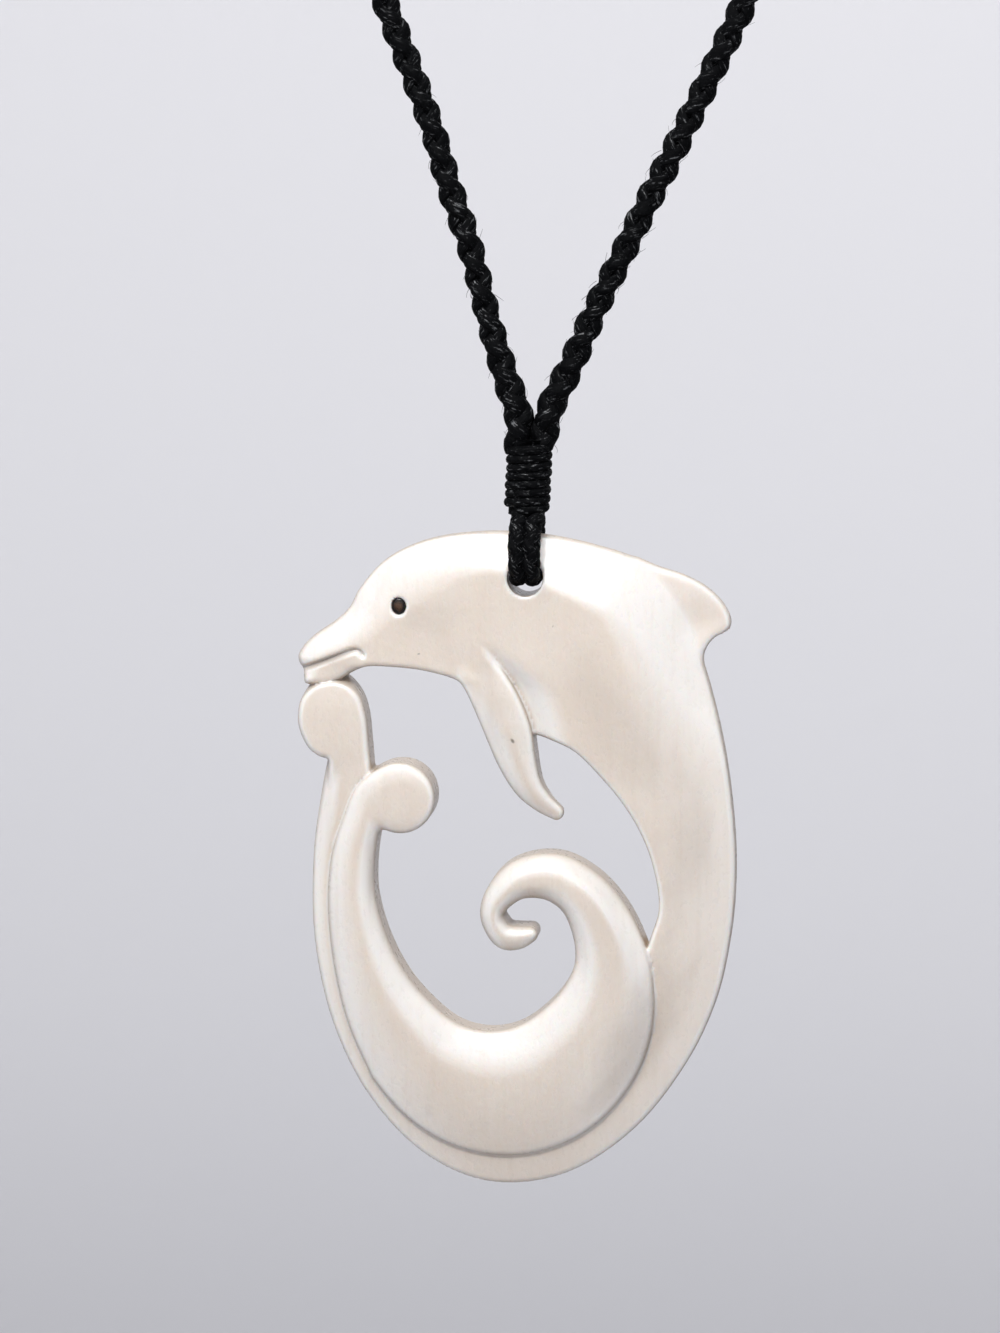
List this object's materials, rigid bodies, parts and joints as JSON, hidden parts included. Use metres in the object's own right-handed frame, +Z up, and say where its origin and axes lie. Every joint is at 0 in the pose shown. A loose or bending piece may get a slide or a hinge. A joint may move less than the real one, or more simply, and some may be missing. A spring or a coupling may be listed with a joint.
{
  "type": "carved bone pendant necklace",
  "caption": "Flat carved bone pendant in the shape of a dolphin curled round an open spiral, hung by its drilled hole from a plaited neck cord.",
  "frame": {"origin": "the underside of the join behind the neck, where the necklace rests when it hangs", "axes": "+Z up, -Y out of the pendant's carved front, +X to the right of a viewer who faces that front"},
  "size_m": [0.1426, 0.117, 0.2537],
  "materials": {
    "bone": "polished bone",
    "eye": "dark polished inlay",
    "waxed_thread": "waxed thread",
    "plaited_cord": "round plait of waxed thread"
  },
  "bodies": {
    "neck_loop": {"cord_left": "plaited_cord", "cord_right": "plaited_cord", "nape_join": "waxed_thread", "whipping": "waxed_thread", "strand_left": "waxed_thread", "strand_right": "waxed_thread"},
    "pendant": {"carving": "bone", "eye_inlay": "eye"}
  },
  "joints": [
    {"name": "pendant_swing", "type": "hinge", "parent": "neck_loop", "child": "pendant", "pos_m": [0, -0.112, -0.2], "axis": [0, 1, 0], "range_deg": [-12, 12]}
  ]
}
